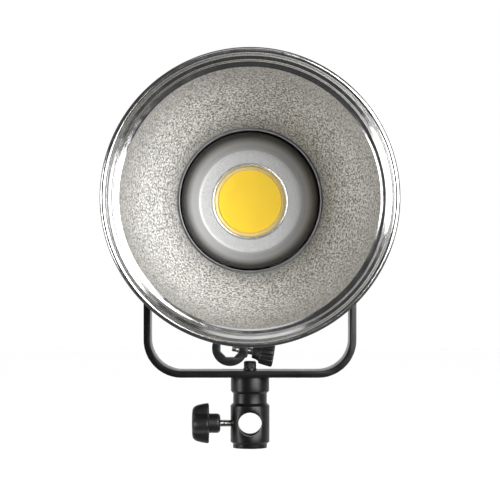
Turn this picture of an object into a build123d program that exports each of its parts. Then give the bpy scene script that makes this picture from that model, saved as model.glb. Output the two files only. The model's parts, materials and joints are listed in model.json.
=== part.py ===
from build123d import *

import os
from math import cos, radians, sin

# Studio LED light head with a bayonet bowl reflector, on a tilting yoke with a stand socket.
#
# Millimetres, +Z up. The origin is the centre of the socket's mouth, where a stand's spigot enters
# from below, and the light shines towards -Y. Parts of the lamp head are modelled about the tilt
# axis (the X axis through the head) and raised to AXIS_Z when they are written, and the parts of
# the stand clamp are raised to CLAMP_Z.

# ---- Driving dimensions -------------------------------------------------------------------------
SOCKET_R = 8.25                            # bore for a 16 mm stand spigot
SOCKET_DEPTH = 34.0
CROSS_BORE_R = 8.15                        # bore across the socket, for a spigot that lies level
ADAPTER_R = 13.45
ADAPTER_H = 49.0
CLAMP_Z = 16.8                             # height of the clamp screw and of the cross bore

YOKE_WIDTH = 145.5
YOKE_BAR = 4.5                             # thickness of the flat bar
YOKE_DEPTH = 30.0                          # width of the flat bar, front to back
YOKE_CORNER_R = 26.0
TILT_RADIUS = 115.0                        # tilt axis down to the yoke's inner floor
YOKE_FLOOR = ADAPTER_H + YOKE_BAR
AXIS_Z = YOKE_FLOOR + TILT_RADIUS

HOUSING_W, HOUSING_H, HOUSING_CORNER_R = 122.0, 120.0, 24.0
WALL = 2.0
PLATE_FRONT, HOUSING_FRONT, HOUSING_REAR, PANEL_REAR = -62.0, -50.0, 83.0, 90.0
PANEL_FACE = 3.0                           # thickness of the rear panel's face
PANEL_INSIDE = PANEL_REAR - PANEL_FACE
SEAM_Z, SEAM_GAP = 30.0, 0.3               # parting line between the lower and upper housing
SEAM_SCREW_Z = SEAM_Z + 3.8
SEAM_SCREW_YS = (-38.0, 16.5, 71.0)
TIE_ROD_XZ = [(x, z) for x in (-49, 49) for z in (-48, 48)]

MOUNT_FACE = -74.0                         # front face of the bayonet ring
MOUNT_RING_T = 2.5
MOUNT_HOLE_R, MOUNT_OUTER_R = 52.0, 63.0
CAVITY_R = 57.5                            # room behind the bayonet ring for the lugs
LUG_ANGLES = (30.0, 150.0, 270.0)
LUG_HALF, LUG_GAP_HALF, UNLOCK_TWIST = 9.0, 10.5, 25.0
LUG_R, LUG_GAP_R = 55.8, 56.3
LUG_FRONT, LUG_REAR = -71.2, -68.7
MOUNT_SCREW_ANGLES = (12.0, 72.0, 132.0, 192.0, 252.0, 312.0)
MOUNT_SCREW_CIRCLE = 60.2

SHEET = 1.0                                # thickness of the spun sheet
RIM_R, RIM_FRONT = 91.8, -175.0
BEAD_R, WIRE_R = 1.9, 1.05
NECK_R, NECK_REAR = 45.7, -67.6
BOWL_START, BOWL_MIDDLE, BOWL_END = (47.5, -86.0), (67.2, -117.6), (80.0, -158.0)

PHOSPHOR_R = 21.0
CUP_OPENING_R, CUP_WALL = 25.5, 1.2
CUP_FLOOR_R, CUP_FLOOR_Y = 34.3, -60.0
CUP_MOUTH_R, CUP_MOUTH_Y = 43.3, -80.0

M5_R, M5_CLEARANCE = 2.5, 0.05             # clamp screws in their holes
PIVOT_R, PIVOT_CLEARANCE = 4.0, 0.08       # tilt pivots in the yoke's arms
M4_R, M3_R, M25_R = 2.0, 1.45, 1.2
FREE = 0.1                                 # play round a screw that passes through

UMBRELLA_X, UMBRELLA_Z = -13.7, -99.3      # centre of the umbrella hole, from the tilt axis
UMBRELLA_Y, UMBRELLA_T = -8.0, 10.0
UMBRELLA_RING_R, UMBRELLA_HOLE_R = 12.3, 6.5
UMBRELLA_SLOPE = -9.5                      # degrees, the clamp screw falls away to the right
UMBRELLA_SCREW_XS = (-16.0, 4.0)

FAN_FRONT, FAN_REAR, FAN_HALF, FAN_HOLE_R = 8.0, 33.0, 40.0, 38.0
FAN_SCREW_XZ = [(x, z) for x in (-35.8, 35.8) for z in (-35.8, 35.8)]
DRIVER_Y, DRIVER_Z, DRIVER_W, DRIVER_L = 52.0, -50.0, 84.0, 36.0
BOARD_T = 1.6
CONTROL_BOARD_REAR = PANEL_INSIDE - 10.2
DIAL_XZ, DIAL_R, DIAL_SHAFT_R = (36.0, 20.0), 13.0, 3.0
BUTTON_XS, BUTTON_Z, BUTTON_R = (-34.0, -16.0, 2.0), -2.0, 3.8
DISPLAY_XZ, DISPLAY_W, DISPLAY_H = (-16.0, 26.0), 48.0, 26.0
ROCKER_XZ, ROCKER_BODY = (32.0, -32.0), (24.0, 16.0)
INLET_XZ, INLET_BODY = (-18.0, -33.0), (27.4, 19.6)
INLET_EAR = 20.0                           # inlet's screws, to each side of its middle


# ---- Helpers ------------------------------------------------------------------------------------
def prism_x(sketch, x0, x1):
    """Extrudes a Y-Z sketch from x0 to x1."""
    return extrude(Plane.YZ.offset(x0) * sketch, amount=x1 - x0)


def prism_y(sketch, y0, y1):
    """Extrudes an X-Z sketch from y0 to y1."""
    plane = Plane(origin=(0, y1, 0), x_dir=(1, 0, 0), z_dir=(0, -1, 0))
    return extrude(plane * sketch, amount=y1 - y0)


def prism_z(sketch, z0, z1):
    """Extrudes an X-Y sketch from z0 to z1."""
    return extrude(Plane.XY.offset(z0) * sketch, amount=z1 - z0)


def turned_x(*points):
    """Solid of revolution about the X axis from (x, radius) points."""
    return revolve(make_face(Polyline(*points, close=True)), Axis.X)


def turned_y(*points):
    """Solid of revolution about the light's axis from (radius, y) points."""
    return revolve(make_face(Polyline(*points, close=True)), Axis.Y)


def turned_z(*points):
    """Solid of revolution about the Z axis from (radius, z) points."""
    return revolve(Plane.XZ * make_face(Polyline(*points, close=True)), Axis.Z)


def rod_x(radius, x0, x1):
    return prism_x(Circle(radius), x0, x1)


def ring_x(outer, inner, x0, x1):
    return prism_x(Circle(outer) - Circle(inner), x0, x1)


def rod_y(radius, y0, y1, xz=(0, 0)):
    return prism_y(Pos(*xz) * Circle(radius), y0, y1)


def ring_y(outer, inner, y0, y1):
    return prism_y(Circle(outer) - Circle(inner), y0, y1)


def block_y(size, y0, y1, xz=(0, 0)):
    """Rectangular block along Y from its (width, height)."""
    return prism_y(Pos(*xz) * Rectangle(*size), y0, y1)


def rod_z(radius, z0, z1, xy=(0, 0)):
    return prism_z(Pos(*xy) * Circle(radius), z0, z1)


def on_circle(radius, angle_deg):
    return radius * cos(radians(angle_deg)), radius * sin(radians(angle_deg))


def sector(outer, inner, centre_deg, half_deg):
    """Part of a ring, as an X-Z sketch."""
    start, end = [on_circle(2 * outer, centre_deg + side * half_deg) for side in (-1, 1)]
    wedge = make_face(Polyline((0, 0), start, end, close=True))
    return (Circle(outer) - Circle(inner)) & wedge


def fluted(radius, flute_r, count):
    """Round grip outline with evenly spaced flutes."""
    outline = Circle(radius)
    for location in PolarLocations(radius, count):
        outline -= location * Circle(flute_r)
    return outline


def hexagon(across_flats):
    return RegularPolygon(across_flats / 2, 6, major_radius=False)


def cap_screw(head_r, head_h, shank_r, shank_l, hex_across):
    """Socket head screw along -Z, its head's underside at z = 0."""
    socket_floor = head_h * 0.45
    body = rod_z(head_r, 0, head_h) + rod_z(shank_r, -shank_l, 0)
    return body - prism_z(hexagon(hex_across), socket_floor, head_h)


def both_sides(shape):
    return Compound([shape, mirror(shape, Plane.YZ)])


def in_head(shape):
    return Pos(0, 0, AXIS_Z) * shape


def housing_outline(inset=0.0):
    return RectangleRounded(HOUSING_W - 2 * inset, HOUSING_H - 2 * inset, HOUSING_CORNER_R - inset)


# ---- Stand socket and yoke ----------------------------------------------------------------------
LOCK_WASHER_T = 1.2


def stand_adapter():
    """Turned receiver: blind socket with a relief groove, a cross bore, and the clamp screw's hole."""
    lip_r, neck_r, top_r = 11.7, 11.6, 13.2
    mouth_chamfer, thread_depth = 0.4, 12.5
    relief_r, relief_z, relief_w = SOCKET_R + 0.5, 14.6, 1.0
    body = turned_z(
        (0, 0), (lip_r, 0), (lip_r, 2.8), (ADAPTER_R, 4.2), (ADAPTER_R, 29.0), (neck_r, 31.0),
        (neck_r, 37.5), (top_r, 39.2), (top_r, ADAPTER_H), (0, ADAPTER_H),
    )
    body -= turned_z((0, 0), (SOCKET_R + mouth_chamfer, 0), (SOCKET_R, mouth_chamfer),
                     (SOCKET_R, SOCKET_DEPTH), (0, SOCKET_DEPTH))
    body -= rod_z(relief_r, relief_z, relief_z + relief_w)
    body -= rod_y(CROSS_BORE_R, -ADAPTER_R - 1, ADAPTER_R + 1, (0, CLAMP_Z))
    body -= Pos(0, 0, CLAMP_Z) * rod_x(M5_R + M5_CLEARANCE, -ADAPTER_R - 1, 0)
    return body - rod_z(M5_R + M5_CLEARANCE, ADAPTER_H - thread_depth, ADAPTER_H)


def yoke_bracket():
    """Flat bar bent to a U, with round ends at the tilt pivots."""
    half_depth, half_width = YOKE_DEPTH / 2, YOKE_WIDTH / 2
    top = AXIS_Z + half_depth
    height = top - ADAPTER_H

    def outline(inset):
        """Rounded frame twice the yoke's height, centred on its top, so that its lower half is the U."""
        return Pos(0, top) * RectangleRounded(YOKE_WIDTH - 2 * inset, 2 * (height - inset),
                                              YOKE_CORNER_R - inset)

    lower_half = Pos(0, top - height / 2) * Rectangle(YOKE_WIDTH, height)
    bar = prism_y((outline(0) - outline(YOKE_BAR)) & lower_half, -half_depth, half_depth)
    arm_side = Pos(0, (ADAPTER_H + AXIS_Z) / 2) * Rectangle(YOKE_DEPTH, AXIS_Z - ADAPTER_H)
    bar &= prism_x(arm_side + Pos(0, AXIS_Z) * Circle(half_depth), -half_width, half_width)
    bar -= in_head(rod_x(PIVOT_R + PIVOT_CLEARANCE, -half_width, half_width))
    return bar - rod_z(M5_R + 2 * FREE, ADAPTER_H, YOKE_FLOOR)


def adapter_lock_washer():
    """Split spring washer under the adapter's screw."""
    washer_r, split = 4.6, 1.0
    washer = rod_z(washer_r, 0, LOCK_WASHER_T) - rod_z(M5_R + FREE, 0, LOCK_WASHER_T)
    return Pos(0, 0, YOKE_FLOOR) * (washer - Pos(washer_r, 0, 0) * Box(washer_r, split, 2 * washer_r))


def adapter_screw():
    head_r, head_h, length, hex_across = 4.25, 5.0, 17.0, 4.0
    screw = cap_screw(head_r, head_h, M5_R, length, hex_across)
    return Pos(0, 0, YOKE_FLOOR + LOCK_WASHER_T) * screw


# ---- Socket clamp, on the axis of its screw -----------------------------------------------------
CLAMP_TIP_X = -SOCKET_R - 0.15
CLAMP_HUB_X, CLAMP_HEAD_X, CLAMP_CROWN_X = -20.5, -28.0, -40.0
CLAMP_SCREW_END_X = -36.0
PAD_STEM_R = 1.0


def clamp_pad():
    """Brass tip that presses on the spigot and doesn't turn with its screw."""
    head_r, head_x, stem_x = 2.2, CLAMP_TIP_X - 1.6, CLAMP_TIP_X - 4.0
    return turned_x((CLAMP_TIP_X, 0), (CLAMP_TIP_X, 2.0), (head_x, head_r), (head_x, PAD_STEM_R),
                    (stem_x, PAD_STEM_R), (stem_x, 0))


def clamp_screw():
    """M5 screw with a blind hole in its end for the pad's stem."""
    end, chamfer = CLAMP_TIP_X - 1.65, 0.4
    bore_r, bore_x = PAD_STEM_R + 0.05, end - 2.6
    return turned_x((end, bore_r), (end, M5_R - chamfer), (end - chamfer, M5_R), (CLAMP_SCREW_END_X, M5_R),
                    (CLAMP_SCREW_END_X, 0), (bore_x, 0), (bore_x, bore_r))


def clamp_knob():
    """Four-lobed star knob with a round hub, moulded over the screw's end."""
    lobe_r, lobe_at, waist_r, head_r, hub_r = 5.2, 8.7, 9.7, 13.9, 6.7
    outline = Circle(waist_r)
    for location in PolarLocations(lobe_at, 4):
        outline += location * Circle(lobe_r)
    dome = turned_x((CLAMP_CROWN_X, 0), (CLAMP_CROWN_X, 6.0), (-39.2, 9.6), (-38.0, 11.2), (-34.6, 12.8),
                    (CLAMP_HEAD_X, head_r), (CLAMP_HEAD_X, 0))
    hub = turned_x((CLAMP_HEAD_X - 1, 0), (CLAMP_HEAD_X - 1, hub_r), (CLAMP_HUB_X - 1.2, hub_r),
                   (CLAMP_HUB_X - 0.35, hub_r - 0.35), (CLAMP_HUB_X, hub_r - 1.2), (CLAMP_HUB_X, 0))
    knob = (prism_x(outline, CLAMP_CROWN_X, CLAMP_HEAD_X) & dome) + hub
    return knob - rod_x(M5_R, CLAMP_SCREW_END_X, 0)


# ---- Tilt pivots --------------------------------------------------------------------------------
ARM_INNER, ARM_OUTER = YOKE_WIDTH / 2 - YOKE_BAR, YOKE_WIDTH / 2
FRICTION_WASHER_T, PIVOT_WASHER_T, PLAY = 1.0, 1.45, 0.05
BOSS_FACE = ARM_INNER - FRICTION_WASHER_T - PLAY
PIVOT_SEAT = ARM_OUTER + PLAY + PIVOT_WASHER_T
PIVOT_BORE_R = PIVOT_R + PIVOT_CLEARANCE
PIVOT_END = 54.0
LEVER_SEAT = PIVOT_SEAT + 0.1


def pivot_bosses():
    """Bosses on the housing's sides, their necks passing through the walls."""
    boss_r, neck_r, side = 16.0, 8.0, HOUSING_W / 2
    neck = ring_x(neck_r, PIVOT_BORE_R, side - WALL, side)
    return both_sides(ring_x(boss_r, PIVOT_BORE_R, side, BOSS_FACE) + neck)


def pivot_nuts():
    """Hexagon nuts inside the housing, behind the bosses."""
    nut_across, nut_h, wall_inside = 16.0, 6.0, HOUSING_W / 2 - WALL
    return both_sides(prism_x(hexagon(nut_across) - Circle(PIVOT_BORE_R), wall_inside - nut_h, wall_inside))


def friction_washers():
    return both_sides(ring_x(15.0, PIVOT_BORE_R, BOSS_FACE, BOSS_FACE + FRICTION_WASHER_T))


def pivot_washers():
    return both_sides(ring_x(9.5, PIVOT_BORE_R, ARM_OUTER + PLAY, PIVOT_SEAT))


def pivot_bolt():
    """Left-hand shoulder bolt, a low head with a hex socket."""
    head_r, head_h, hex_across = 7.5, 5.0, 6.0
    bolt = Rot(0, -90, 0) * cap_screw(head_r, head_h, PIVOT_R, PIVOT_SEAT - PIVOT_END, hex_across)
    return Pos(-PIVOT_SEAT, 0, 0) * bolt


LEVER_HUB_R, LEVER_HUB_H, LEVER_STUD_DEPTH = 10.5, 17.0, 8.5


def lever_stud():
    return rod_x(PIVOT_R, PIVOT_END + 0.5, LEVER_SEAT + LEVER_STUD_DEPTH - 0.5)


def tilt_lever():
    """Clamping lever on the right arm, pointing to the rear."""
    rise_deg, reach, root_r, tip_r, edge_r = 15.0, 50.0, 7.0, 4.6, 1.6
    face, end_r, cap_r, cap_depth = LEVER_SEAT + LEVER_HUB_H, LEVER_HUB_R - 2, 5.2, 0.6
    hub = turned_x((LEVER_SEAT, 0), (LEVER_SEAT, end_r), (LEVER_SEAT + 6, LEVER_HUB_R),
                   (face - 3, LEVER_HUB_R), (face, end_r), (face, cap_r), (face - cap_depth, cap_r - 0.2),
                   (face - cap_depth, 0))
    root_edges = Circle(root_r).edges()
    tip_edges = (Pos(*on_circle(reach, rise_deg)) * Circle(tip_r)).edges()
    arm = prism_x(make_hull([*root_edges, *tip_edges]), LEVER_SEAT + LEVER_STUD_DEPTH, face - 1)
    arm = fillet(arm.faces().filter_by(Axis.X).edges(), edge_r)
    return hub + arm - rod_x(PIVOT_R + PLAY, 0, LEVER_SEAT + LEVER_STUD_DEPTH)


# ---- Lamp head casing ---------------------------------------------------------------------------
STOP_OFFSET_DEG, STOP_HALF_DEG = -12.0, 1.2


def front_plate():
    """Casting behind the bayonet: closes the housing, carries the mount's collar and its twist stops."""
    opening_r, edge_r, cavity_floor, stop_r = 46.0, 3.0, PLATE_FRONT, 53.0
    plate = prism_y(housing_outline(), PLATE_FRONT, HOUSING_FRONT)
    plate = fillet(plate.faces().sort_by(Axis.Y)[0].edges(), edge_r)
    plate += ring_y(MOUNT_OUTER_R, CAVITY_R, MOUNT_FACE + MOUNT_RING_T, PLATE_FRONT + edge_r + 0.5)
    plate -= rod_y(opening_r, PLATE_FRONT - 1, HOUSING_FRONT)
    plate -= rod_y(CAVITY_R, MOUNT_FACE, cavity_floor)
    for angle in LUG_ANGLES:
        stop = sector(CAVITY_R + 1, stop_r, angle + STOP_OFFSET_DEG, STOP_HALF_DEG)
        plate += prism_y(stop, LUG_FRONT, cavity_floor + 1)
    for xz in TIE_ROD_XZ:
        plate -= rod_y(M3_R + FREE, PLATE_FRONT - 1, HOUSING_FRONT, xz)
    for angle in MOUNT_SCREW_ANGLES:
        plate -= rod_y(M3_R - 0.4, MOUNT_FACE, PLATE_FRONT, on_circle(MOUNT_SCREW_CIRCLE, angle))
    return plate


def mount_screw(play=0.0):
    """Small countersunk screw along +Y, its face at y = 0."""
    head_r, shank_r, cone, length = 2.2 + play, 1.0 + play, 1.3, 7.0
    return turned_y((0, 0), (head_r, 0), (shank_r, cone), (shank_r, length), (0, length))


def at_mount_screw(angle):
    x, z = on_circle(MOUNT_SCREW_CIRCLE, angle)
    return Pos(x, MOUNT_FACE, z)


def mount_ring():
    """Steel bayonet ring with three gaps that let the reflector's lugs through."""
    outline = Circle(MOUNT_OUTER_R) - Circle(MOUNT_HOLE_R)
    for angle in LUG_ANGLES:
        outline -= sector(LUG_GAP_R, MOUNT_HOLE_R - 1, angle + UNLOCK_TWIST, LUG_GAP_HALF)
    ring = prism_y(outline, MOUNT_FACE, MOUNT_FACE + MOUNT_RING_T)
    for angle in MOUNT_SCREW_ANGLES:
        ring -= at_mount_screw(angle) * mount_screw(PLAY)
    return ring


def mount_ring_screws():
    driver_slot = Box(0.6, 1.2, 3.0)
    return Compound([at_mount_screw(angle) * (mount_screw() - driver_slot) for angle in MOUNT_SCREW_ANGLES])


def mount_springs():
    """Three bent leaf springs that press the reflector's lugs forward against the ring."""
    thickness, lug_play, width, inner_r = 0.45, 0.15, 3.8, 51.6
    crown, floor = LUG_REAR + lug_play, PLATE_FRONT
    foot, bend, top = 9.0, 6.3, 3.6        # half lengths of the spring, of its raised part and of its crown
    front_line = [(-foot, floor - thickness), (-bend, floor - thickness), (-top, crown)]
    rear_line = [(foot, floor), (bend - 0.4, floor), (top - 0.3, crown + thickness)]
    outline = [*front_line, *[(-x, y) for x, y in reversed(front_line)],
               *rear_line, *[(-x, y) for x, y in reversed(rear_line)]]
    leaf = extrude(Plane.XY.offset(inner_r) * make_face(Polyline(*outline, close=True)), amount=width)
    return Compound([Rot(0, 90 - angle, 0) * leaf for angle in LUG_ANGLES])


VENT_W, VENT_PITCH = 2.6, 8.0


def side_vents():
    """Air slots through both sides, in front of the bosses over the heat sink, and behind the fan."""
    length, front_y, rear_y, boss_clear = 26.0, -28.0, 58.0, 16.0
    cuts = []
    for y in (front_y, rear_y):
        for z in range(-40, 25, 7):
            if y == rear_y or abs(z) > boss_clear:
                cuts.append(prism_x(Pos(y, z) * SlotOverall(length, VENT_W), -HOUSING_W, HOUSING_W))
    return Compound(cuts)


def vents_along_z(ys, z0, z1):
    """Rows of air slots through the housing's top or bottom."""
    length, rows = 24.0, 4
    xs = [VENT_PITCH * step for step in range(1 - rows, rows)]
    slot = Rot(0, 0, 90) * SlotOverall(length, VENT_W)
    return Compound([prism_z(Pos(x, y) * slot, z0, z1) for x in xs for y in ys])


def seam_holes(radius):
    """Cutters through both side walls for the cover's screws."""
    return [Pos(0, y, SEAM_SCREW_Z) * rod_x(radius, -HOUSING_W, HOUSING_W) for y in SEAM_SCREW_YS]


def housing_shell(z0, z1):
    length = HOUSING_REAR - HOUSING_FRONT
    tube = prism_y(housing_outline() - housing_outline(WALL), HOUSING_FRONT, HOUSING_REAR)
    return tube & Pos(0, HOUSING_FRONT + length / 2, (z0 + z1) / 2) * Box(HOUSING_W, length, z1 - z0)


def lower_housing():
    """U-shaped shell that carries the tilt pivots and the umbrella holder."""
    bottom, pivot_neck_r = -HOUSING_H / 2, 8.05
    shell = housing_shell(bottom, SEAM_Z)
    shell -= rod_x(pivot_neck_r, -HOUSING_W, HOUSING_W)
    for x in UMBRELLA_SCREW_XS:
        shell -= rod_z(M4_R + PLAY, bottom, bottom + WALL, (x, UMBRELLA_Y))
    return shell - vents_along_z((26.0, 60.0), bottom, bottom + WALL) - side_vents()


def upper_housing():
    """Removable cover over the electronics."""
    top = HOUSING_H / 2
    shell = housing_shell(SEAM_Z + SEAM_GAP, top)
    return shell - seam_holes(M25_R + PLAY) - vents_along_z((-30.0, 26.0, 60.0), top - WALL, top)


def seam_strips():
    """Inner strips along the parting line that the cover is screwed to."""
    thickness, height, end_gap = 1.6, 12.0, 4.0
    length, middle = HOUSING_REAR - HOUSING_FRONT - 2 * end_gap, (HOUSING_FRONT + HOUSING_REAR) / 2
    x = HOUSING_W / 2 - WALL - thickness / 2
    strip = Pos(x, middle, SEAM_Z) * Box(thickness, length, height) - seam_holes(M25_R + PLAY)
    return both_sides(strip)


def seam_screws():
    """Round-headed screws that hold the cover to the strips."""
    wall, length, head_r, head_h = HOUSING_W / 2, 3.6, 2.6, 1.2
    screw = turned_x((wall - length, 0), (wall - length, M25_R), (wall, M25_R), (wall, head_r),
                     (wall + 0.9, 2.0), (wall + head_h, 0))
    screw -= Pos(wall + head_h, 0, 0) * (Box(1.6, 0.6, 3.0) + Box(1.6, 3.0, 0.6))
    sides = [both_sides(Pos(0, y, SEAM_SCREW_Z) * screw) for y in SEAM_SCREW_YS]
    return Compound([solid for side in sides for solid in side.solids()])


def tie_rods():
    """Threaded spacers from the front plate to the rear panel, one in each corner."""
    rod_r, hole_depth = 3.5, 10.0
    rods = []
    for xz in TIE_ROD_XZ:
        rod = rod_y(rod_r, HOUSING_FRONT, PANEL_INSIDE, xz)
        rod -= rod_y(M3_R, HOUSING_FRONT, HOUSING_FRONT + hole_depth, xz)
        rods.append(rod - rod_y(M3_R, PANEL_INSIDE - hole_depth, PANEL_INSIDE, xz))
    return Compound(rods)


def pan_head_screws(face, length, turn_deg):
    """Four screws into the tie rods, along +Y (turned by 0) or -Y (turned by 180 degrees)."""
    head_h, head_r = 1.8, 2.7
    screw = turned_y((0, -head_h), (1.6, -head_h), (2.6, -0.9), (head_r, 0), (M3_R, 0), (M3_R, length),
                     (0, length))
    screw -= Pos(0, -head_h, 0) * (Box(0.7, 1.8, 3.4) + Box(3.4, 1.8, 0.7))
    return Compound([Pos(x, face, z) * Rot(0, 0, turn_deg) * screw for x, z in TIE_ROD_XZ])


def front_screws():
    return pan_head_screws(PLATE_FRONT, 18.0, 0)


def rear_screws():
    return pan_head_screws(PANEL_REAR, 12.0, 180)


# ---- Light source -------------------------------------------------------------------------------
SUBSTRATE_T = 2.0
LED_FACE = HOUSING_FRONT - SUBSTRATE_T


def heat_sink():
    """Base plate behind the LED with straight fins reaching to the fan."""
    width, height, base_t, fin_t, fin_pitch, fan_gap = 100.0, 86.0, 8.0, 1.6, 6, 2.0
    base_rear, fin_rear = HOUSING_FRONT + base_t, FAN_FRONT - fan_gap
    fin = block_y((fin_t, height), base_rear, fin_rear)
    sink = block_y((width, height), HOUSING_FRONT, base_rear)
    return sink + [Pos(x, 0, 0) * fin for x in range(-48, 49, fin_pitch)]


def led_substrate():
    return block_y((44.0, 44.0), LED_FACE, HOUSING_FRONT)


def led_phosphor():
    return rod_y(PHOSPHOR_R, LED_FACE - 1.4, LED_FACE)


def led_dam():
    """Raised silicone ring round the phosphor."""
    inner_r, outer_r, height, edge = PHOSPHOR_R + 0.25, PHOSPHOR_R + 2.35, 1.9, 0.5
    top = LED_FACE - height
    return turned_y((inner_r, LED_FACE), (inner_r, top + edge), (inner_r + edge, top), (outer_r - edge, top),
                    (outer_r, top + edge), (outer_r, LED_FACE))


def led_bezel():
    """Polished ring between the LED and the cup's floor, with a wide inner bevel."""
    inner_r, rim_r, outer_r = 23.6, 24.9, CUP_OPENING_R - PLAY
    front, bevel = CUP_FLOOR_Y - 0.6, 1.4
    return turned_y((inner_r, LED_FACE), (inner_r, front + bevel), (rim_r, front), (outer_r, front),
                    (outer_r, LED_FACE))


def cup_floor():
    """Flat ring round the LED, on a short rim that stands on the front plate."""
    rim_outer, rim_inner, floor_rear = 34.0, 32.2, CUP_FLOOR_Y + CUP_WALL
    floor = ring_y(CUP_FLOOR_R, CUP_OPENING_R, CUP_FLOOR_Y, floor_rear)
    return floor + ring_y(rim_outer, rim_inner, floor_rear, HOUSING_FRONT)


def lamp_cup():
    """Spun cup pressed over the floor ring: a wide rounded corner, then a steep wall up to its lip."""
    def wall_line(offset):
        """Quarter of an ellipse from the floor to the mouth, offset by the wall's thickness."""
        floor_y, reach = CUP_FLOOR_Y + offset, CUP_MOUTH_R + offset - CUP_FLOOR_R
        rise = floor_y - CUP_MOUTH_Y
        return [(CUP_FLOOR_R + reach * sin(radians(t)), floor_y - rise * (1 - cos(radians(t))))
                for t in range(0, 91, 10)]

    inside, outside = wall_line(0), wall_line(CUP_WALL)
    section = make_face([
        Spline(*inside, tangents=[(1, 0), (0, -1)]),
        Line(inside[-1], outside[-1]),
        Spline(*reversed(outside), tangents=[(0, 1), (-1, 0)]),
        Line(outside[0], inside[0]),
    ])
    return revolve(section, Axis.Y)


# ---- Bowl reflector -----------------------------------------------------------------------------
BEAD_CENTRE = (RIM_R - BEAD_R, RIM_FRONT + BEAD_R)
COLLAR_INNER_R, COLLAR_OUTER_R, COLLAR_FRONT, COLLAR_REAR = NECK_R + 1.22, 51.2, -82.1, -68.0


def reflector_shell():
    """Spun bowl: neck, concave bowl, two-stepped collar for a grid, and an edge rolled over a wire."""
    collar_inside = [BOWL_END, (80.7, -158.1), (83.9, -159.6), (84.4, -164.0), (87.5, -165.8), (88.2, -171.4)]
    collar_outside = [(89.2, -171.4), (88.43, -165.18), (85.34, -163.39), (84.83, -158.92), (80.95, -157.1)]
    back_middle, back_start = (68.02, -117.05), (BOWL_START[0] + SHEET, BOWL_START[1] + 0.7)
    neck_outer, lip_r, groove_r = NECK_R + 1.2, NECK_R + 0.8, BOWL_START[0]
    neck_shoulder, lip_front, groove_rear = -82.2, -85.2, -83.2
    section = make_face([
        ThreePointArc(BOWL_START, BOWL_MIDDLE, BOWL_END),
        Polyline(*collar_inside, *collar_outside),
        ThreePointArc(collar_outside[-1], back_middle, back_start),
        Polyline(back_start, (back_start[0], neck_shoulder), (neck_outer, neck_shoulder),
                 (neck_outer, NECK_REAR), (NECK_R, NECK_REAR), (NECK_R, lip_front), (lip_r, lip_front),
                 (lip_r, groove_rear), (groove_r, groove_rear), BOWL_START),
    ])
    curl = Pos(*BEAD_CENTRE) * (Circle(BEAD_R) - Circle(WIRE_R + PLAY))
    return revolve(section, Axis.Y) + revolve(curl, Axis.Y)


def rim_wire():
    return revolve(Pos(*BEAD_CENTRE) * Circle(WIRE_R), Axis.Y)


def reflector_collar():
    """Cast bayonet collar swaged round the bowl's neck, with a flange and three lugs."""
    flange_r, flange_front = 57.0, -76.6
    collar = ring_y(COLLAR_OUTER_R, COLLAR_INNER_R, COLLAR_FRONT, COLLAR_REAR)
    collar += ring_y(flange_r, COLLAR_INNER_R, flange_front, MOUNT_FACE - FREE)
    for angle in LUG_ANGLES:
        collar += prism_y(sector(LUG_R, COLLAR_OUTER_R - 1, angle, LUG_HALF), LUG_FRONT, LUG_REAR)
    return collar


# ---- Umbrella holder under the head -------------------------------------------------------------
HOLDER_TOP = -HOUSING_H / 2 - PLAY
HOLDER_BASE_T = 3.0


def on_umbrella_axis(shape):
    """Places a solid turned about X on the holder's clamp axis, x = 0 at the hole's centre."""
    return Pos(UMBRELLA_X, UMBRELLA_Y, UMBRELLA_Z) * Rot(0, -UMBRELLA_SLOPE, 0) * shape


def umbrella_holder():
    """Bracket with an eight-sided hole for an umbrella shaft and a boss for the clamp screw."""
    front, rear = UMBRELLA_Y - UMBRELLA_T / 2, UMBRELLA_Y + UMBRELLA_T / 2
    base_x, base_w, base_d, base_edge_r = -6.0, 32.0, 14.0, 3.0
    boss_r, boss_end, screw_head_r = 5.4, 12.7, 4.2
    place = Pos(UMBRELLA_X, UMBRELLA_Z)
    stem = make_face(Polyline((-15, HOLDER_TOP), (3, HOLDER_TOP), (-3, UMBRELLA_Z + 2), (-20, UMBRELLA_Z + 6),
                              close=True))
    body = prism_y(stem + place * Circle(UMBRELLA_RING_R), front, rear)
    body += on_umbrella_axis(turned_x((6, 0), (6, boss_r), (boss_end - 1.5, boss_r), (boss_end, boss_r - 1),
                                      (boss_end, 0)))
    base = Pos(base_x, UMBRELLA_Y, HOLDER_TOP - HOLDER_BASE_T / 2) * Box(base_w, base_d, HOLDER_BASE_T)
    body += fillet(base.edges().filter_by(Axis.Z), base_edge_r)
    octagon = place * Rot(0, 0, 22.5) * RegularPolygon(UMBRELLA_HOLE_R, 8, major_radius=False)
    body -= prism_y(octagon, front - 1, rear + 1)
    for x in UMBRELLA_SCREW_XS:
        seat = HOLDER_TOP - HOLDER_BASE_T
        body -= rod_z(M4_R + PLAY, seat, HOLDER_TOP, (x, UMBRELLA_Y))
        body -= rod_z(screw_head_r, seat - 9, seat, (x, UMBRELLA_Y))
    return body - on_umbrella_axis(rod_x(M5_R + M5_CLEARANCE, 0, boss_end + 1))


def umbrella_screws():
    """Two screws that hold the bracket to the housing's floor."""
    screw = Rot(180, 0, 0) * cap_screw(3.5, 3.0, M4_R, 8.0, 3.0)
    return Compound([Pos(x, UMBRELLA_Y, HOLDER_TOP - HOLDER_BASE_T) * screw for x in UMBRELLA_SCREW_XS])


UMBRELLA_TIP, UMBRELLA_SCREW_START = 1.5, 4.45     # along the clamp axis, from the hole's centre
UMBRELLA_SCREW_END = 24.0


def umbrella_pad():
    """Steel tip that presses on the umbrella's shaft."""
    tip_r, chamfer, head_end, stem_end = 2.1, 0.4, UMBRELLA_SCREW_START - 0.05, 6.4
    return on_umbrella_axis(turned_x((UMBRELLA_TIP, 0), (UMBRELLA_TIP, tip_r - chamfer),
                                     (UMBRELLA_TIP + chamfer, tip_r), (head_end, tip_r),
                                     (head_end, PAD_STEM_R), (stem_end, PAD_STEM_R), (stem_end, 0)))


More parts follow.
